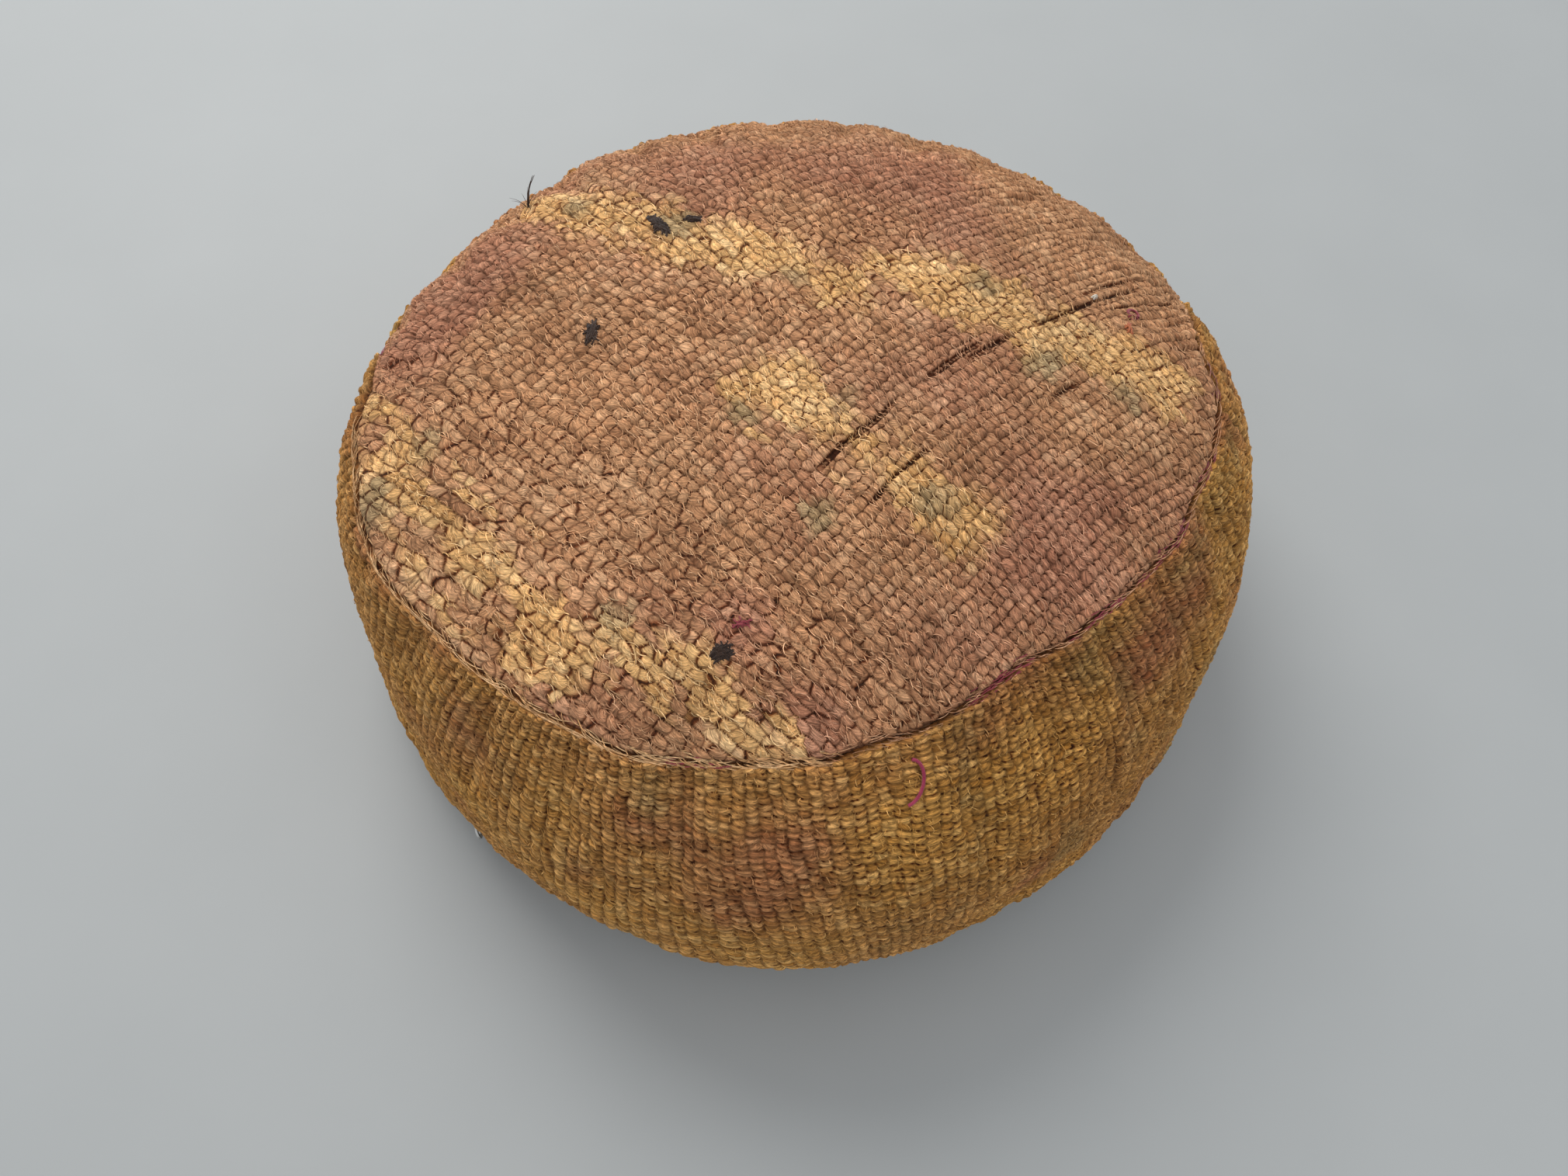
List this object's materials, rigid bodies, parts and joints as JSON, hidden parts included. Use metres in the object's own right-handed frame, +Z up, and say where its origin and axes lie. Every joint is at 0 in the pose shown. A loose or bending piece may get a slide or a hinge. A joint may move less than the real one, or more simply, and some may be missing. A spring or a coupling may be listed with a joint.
{
  "type": "round floor cushion",
  "caption": "Round stuffed floor cushion of knotted wool rug with a domed top, a bulging side band and a zip along the base seam.",
  "frame": {"origin": "on the floor, at the centre of the cushion's outline", "axes": "+Z up; +Y away from a viewer who faces the zip; +X to that viewer's right"},
  "size_m": [0.5499, 0.55, 0.245],
  "materials": {
    "top_rug": "worn knotted wool, matte",
    "band_rug": "worn knotted wool, matte",
    "base_cloth": "coarse plain weave, matte",
    "sewing_thread": "waxed thread",
    "zip_tape": "woven polyester tape",
    "zip_coil": "nylon monofilament",
    "zip_metal": "plated die-cast metal, lightly worn",
    "bag_cloth": "plain cotton",
    "bag_thread": "cotton thread",
    "filling": "loose cotton and cloth waste",
    "black_wool": "matted wool",
    "pale_wool": "wool fluff",
    "red_wool": "wool yarn",
    "magenta_wool": "wool yarn"
  },
  "bodies": {
    "root": {"top_panel": "top_rug", "side_band": "band_rug", "bottom_panel": "base_cloth", "top_seam_thread": "sewing_thread", "base_seam_thread": "sewing_thread", "band_join_thread": "sewing_thread", "zip_tape_upper": "zip_tape", "zip_tape_lower": "zip_tape", "zip_coil_upper": "zip_coil", "zip_coil_lower": "zip_coil", "zip_top_stops": "zip_metal", "zip_bottom_stop": "zip_metal", "zip_stitching_upper": "sewing_thread", "zip_stitching_lower": "sewing_thread", "bag_top": "bag_cloth", "bag_side": "bag_cloth", "bag_bottom": "bag_cloth", "bag_top_stitching": "bag_thread", "bag_bottom_stitching": "bag_thread", "filling": "filling", "black_wool_tufts": "black_wool", "pale_wool_tuft": "pale_wool", "red_wool_tufts": "red_wool", "magenta_yarn": "magenta_wool", "bristle_strand": "black_wool"},
    "zip_slider": {"slider_body": "zip_metal"},
    "zip_pull": {"pull_tab": "zip_metal"}
  },
  "joints": [
    {"name": "slider_travel", "type": "hinge", "parent": "root", "child": "zip_slider", "pos_m": [0, 0, 0.021], "axis": [0, 0, 1], "range_deg": [0, 97]},
    {"name": "pull_swing", "type": "hinge", "parent": "zip_slider", "child": "zip_pull", "pos_m": [-0.18838, -0.17204, 0.01963], "axis": [-0.1911, -0.1745, 0.9659], "range_deg": [-130, 8]}
  ]
}
